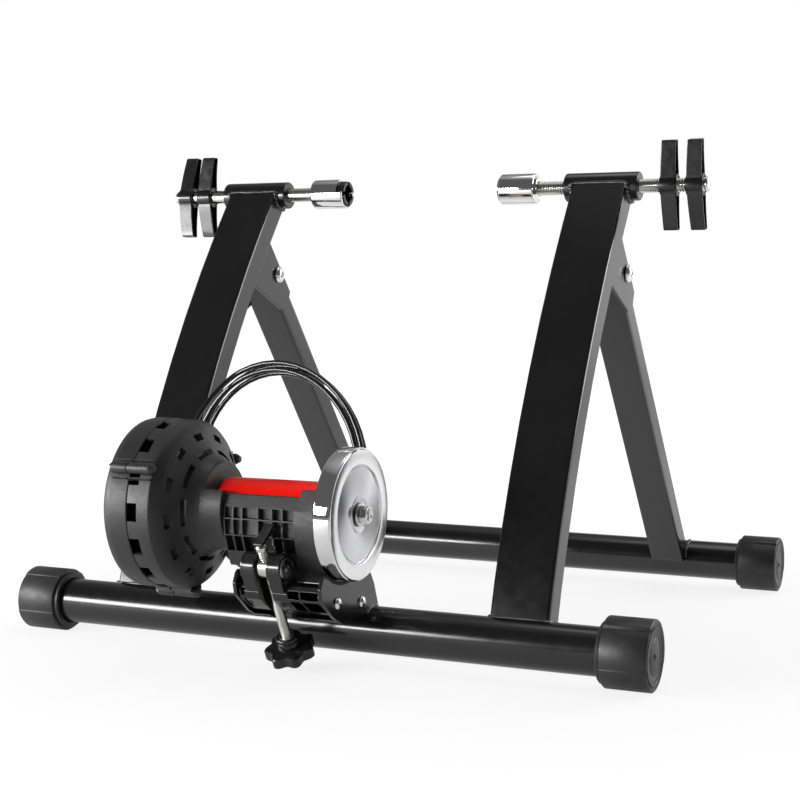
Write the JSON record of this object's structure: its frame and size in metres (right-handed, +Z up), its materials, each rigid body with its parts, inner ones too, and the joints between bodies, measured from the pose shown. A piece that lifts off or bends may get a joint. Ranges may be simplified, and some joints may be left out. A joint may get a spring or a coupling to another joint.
{
  "type": "bike_trainer",
  "caption": "Folding bicycle trainer stand with curved black legs, two axle clamps, a tilting magnetic roller unit with a flywheel, and a coiled remote cable",
  "frame": {"origin": "centre of the bounding box without the cable, on the floor under the four end caps", "axes": "+X along the base tubes to the flywheel side, +Y from the roller unit to the rear base tube, +Z up"},
  "size_m": [0.567, 0.617, 0.4325],
  "materials": {
    "powder_coat": "satin black powder coat",
    "rubber": "matte black rubber",
    "zinc": "zinc plated steel",
    "chrome": "polished chrome",
    "knob_plastic": "moulded black plastic",
    "housing_plastic": "grained dark grey plastic",
    "mount_plastic": "moulded black plastic",
    "roller_polyurethane": "smooth red elastomer",
    "aluminium": "turned and polished",
    "cable_jacket": "black outer casing"
  },
  "bodies": {
    "root": {"front_base_tube": "powder_coat", "front_leg_l": "powder_coat", "front_leg_r": "powder_coat", "sleeve_l": "powder_coat", "sleeve_r": "powder_coat", "pivot_channel_l": "powder_coat", "pivot_channel_r": "powder_coat", "pivot_bolt_l": "chrome", "pivot_bolt_r": "chrome", "pivot_nut_l": "zinc", "pivot_nut_r": "zinc", "unit_bracket": "powder_coat", "cheek_screw_l1": "zinc", "cheek_screw_l2": "zinc", "cheek_screw_r1": "zinc", "cheek_screw_r2": "zinc", "mount_block": "mount_plastic", "hinge_pin": "zinc"},
    "rear_frame": {"rear_base_tube": "powder_coat", "rear_leg_l": "powder_coat", "rear_leg_r": "powder_coat"},
    "front_cap_l": {"cap_front_l": "rubber"},
    "front_cap_r": {"cap_front_r": "rubber"},
    "rear_cap_l": {"cap_rear_l": "rubber"},
    "rear_cap_r": {"cap_rear_r": "rubber"},
    "left_clamp": {"left_cup": "chrome", "left_insert": "knob_plastic"},
    "left_screw": {"left_rod": "zinc", "left_knob_outer": "knob_plastic"},
    "left_lock": {"left_knob_inner": "knob_plastic"},
    "right_clamp": {"right_cup": "chrome", "right_insert": "knob_plastic"},
    "right_screw": {"right_screw": "zinc", "right_knob_outer": "knob_plastic"},
    "right_lock": {"right_knob_inner": "knob_plastic"},
    "roller_unit": {"drum_cover": "housing_plastic", "drum_shell": "housing_plastic", "roller_housing": "housing_plastic", "drum_screw_1": "zinc", "drum_screw_2": "zinc", "drum_screw_3": "zinc", "bearing_l": "zinc", "bearing_r": "zinc", "cable_gland": "knob_plastic", "cable_coil": "cable_jacket", "cable_ferrule": "zinc", "cable_tie": "knob_plastic", "remote_body": "knob_plastic"},
    "spinner": {"axle_shaft": "zinc", "roller": "roller_polyurethane", "flywheel": "aluminium", "flywheel_nut": "zinc", "flywheel_washer": "zinc", "rotor_disc": "aluminium"},
    "magnets": {"magnet_carrier": "mount_plastic"},
    "remote_thumb": {"remote_lever": "knob_plastic"},
    "screw_pivot": {"trunnion": "zinc"},
    "screw_tip": {"thrust_pad": "zinc"},
    "tilt_screw": {"tilt_screw_rod": "zinc", "star_knob": "knob_plastic"}
  },
  "joints": [
    {"name": "rear_fold", "type": "hinge", "parent": "root", "child": "rear_frame", "pos_m": [0, 0.022, 0.31695], "axis": [1, 0, 0], "range_deg": [-66, 0]},
    {"name": "front_cap_l_turn", "type": "hinge", "parent": "root", "child": "front_cap_l", "pos_m": [-0.26, -0.1897, 0.02705], "axis": [1, 0, 0], "continuous": true},
    {"name": "front_cap_r_turn", "type": "hinge", "parent": "root", "child": "front_cap_r", "pos_m": [0.26, -0.1897, 0.02705], "axis": [1, 0, 0], "continuous": true},
    {"name": "rear_cap_l_turn", "type": "hinge", "parent": "rear_frame", "child": "rear_cap_l", "pos_m": [-0.26, 0.2795, 0.02705], "axis": [1, 0, 0], "continuous": true},
    {"name": "rear_cap_r_turn", "type": "hinge", "parent": "rear_frame", "child": "rear_cap_r", "pos_m": [0.26, 0.2795, 0.02705], "axis": [1, 0, 0], "continuous": true},
    {"name": "left_clamp_slide", "type": "slide", "parent": "root", "child": "left_clamp", "axis": [1, 0, 0], "range_m": [-0.02, 0.016]},
    {"name": "left_screw_turn", "type": "hinge", "parent": "left_clamp", "child": "left_screw", "pos_m": [-0.15, 0.01997, 0.39305], "axis": [1, 0, 0], "range_deg": [-4115, 3292]},
    {"name": "left_lock_turn", "type": "hinge", "parent": "left_screw", "child": "left_lock", "pos_m": [-0.232, 0.01997, 0.39305], "axis": [1, 0, 0], "continuous": true},
    {"name": "right_clamp_slide", "type": "slide", "parent": "root", "child": "right_clamp", "axis": [-1, 0, 0], "range_m": [-0.02, 0.016]},
    {"name": "right_screw_turn", "type": "hinge", "parent": "right_clamp", "child": "right_screw", "pos_m": [0.15, 0.01997, 0.39305], "axis": [-1, 0, 0], "range_deg": [-4115, 3292]},
    {"name": "right_lock_turn", "type": "hinge", "parent": "right_screw", "child": "right_lock", "pos_m": [0.232, 0.01997, 0.39305], "axis": [-1, 0, 0], "continuous": true},
    {"name": "unit_tilt", "type": "hinge", "parent": "root", "child": "roller_unit", "pos_m": [0.0115, -0.1977, 0.07105], "axis": [1, 0, 0], "range_deg": [-6, 2]},
    {"name": "roller_spin", "type": "hinge", "parent": "roller_unit", "child": "spinner", "pos_m": [0, -0.2397, 0.12685], "axis": [1, 0, 0], "continuous": true},
    {"name": "magnet_shift", "type": "slide", "parent": "roller_unit", "child": "magnets", "axis": [1, 0, 0], "range_m": [-0.003, 0.003]},
    {"name": "remote_turn", "type": "hinge", "parent": "roller_unit", "child": "remote_thumb", "pos_m": [-0.05589, -0.15167, 0.09524], "axis": [-0.988, 0.1186, 0.0988], "range_deg": [-50.1, 50.1]},
    {"name": "screw_pivot_turn", "type": "hinge", "parent": "root", "child": "screw_pivot", "pos_m": [0, -0.2747, 0.08665], "axis": [1, 0, 0], "range_deg": [-6, 2]},
    {"name": "screw_travel", "type": "slide", "parent": "screw_pivot", "child": "screw_tip", "axis": [0, -0.468, 0.8837], "range_m": [-0.00213, 0.0064]},
    {"name": "star_knob_turn", "type": "hinge", "parent": "screw_tip", "child": "tilt_screw", "pos_m": [0, -0.2747, 0.08665], "axis": [0, -0.468, 0.8837], "range_deg": [-611, 1833]}
  ],
  "couplings": [
    {"joint": "left_screw_turn", "follows": "left_clamp_slide", "rad_per_m": 3590.4},
    {"joint": "right_screw_turn", "follows": "right_clamp_slide", "rad_per_m": 3590.4},
    {"joint": "remote_turn", "follows": "magnet_shift", "rad_per_m": 290.89},
    {"joint": "star_knob_turn", "follows": "unit_tilt", "ratio": -305.34},
    {"joint": "screw_pivot_turn", "follows": "unit_tilt", "ratio": 1},
    {"joint": "screw_travel", "follows": "unit_tilt", "m_per_rad": -0.060746}
  ]
}
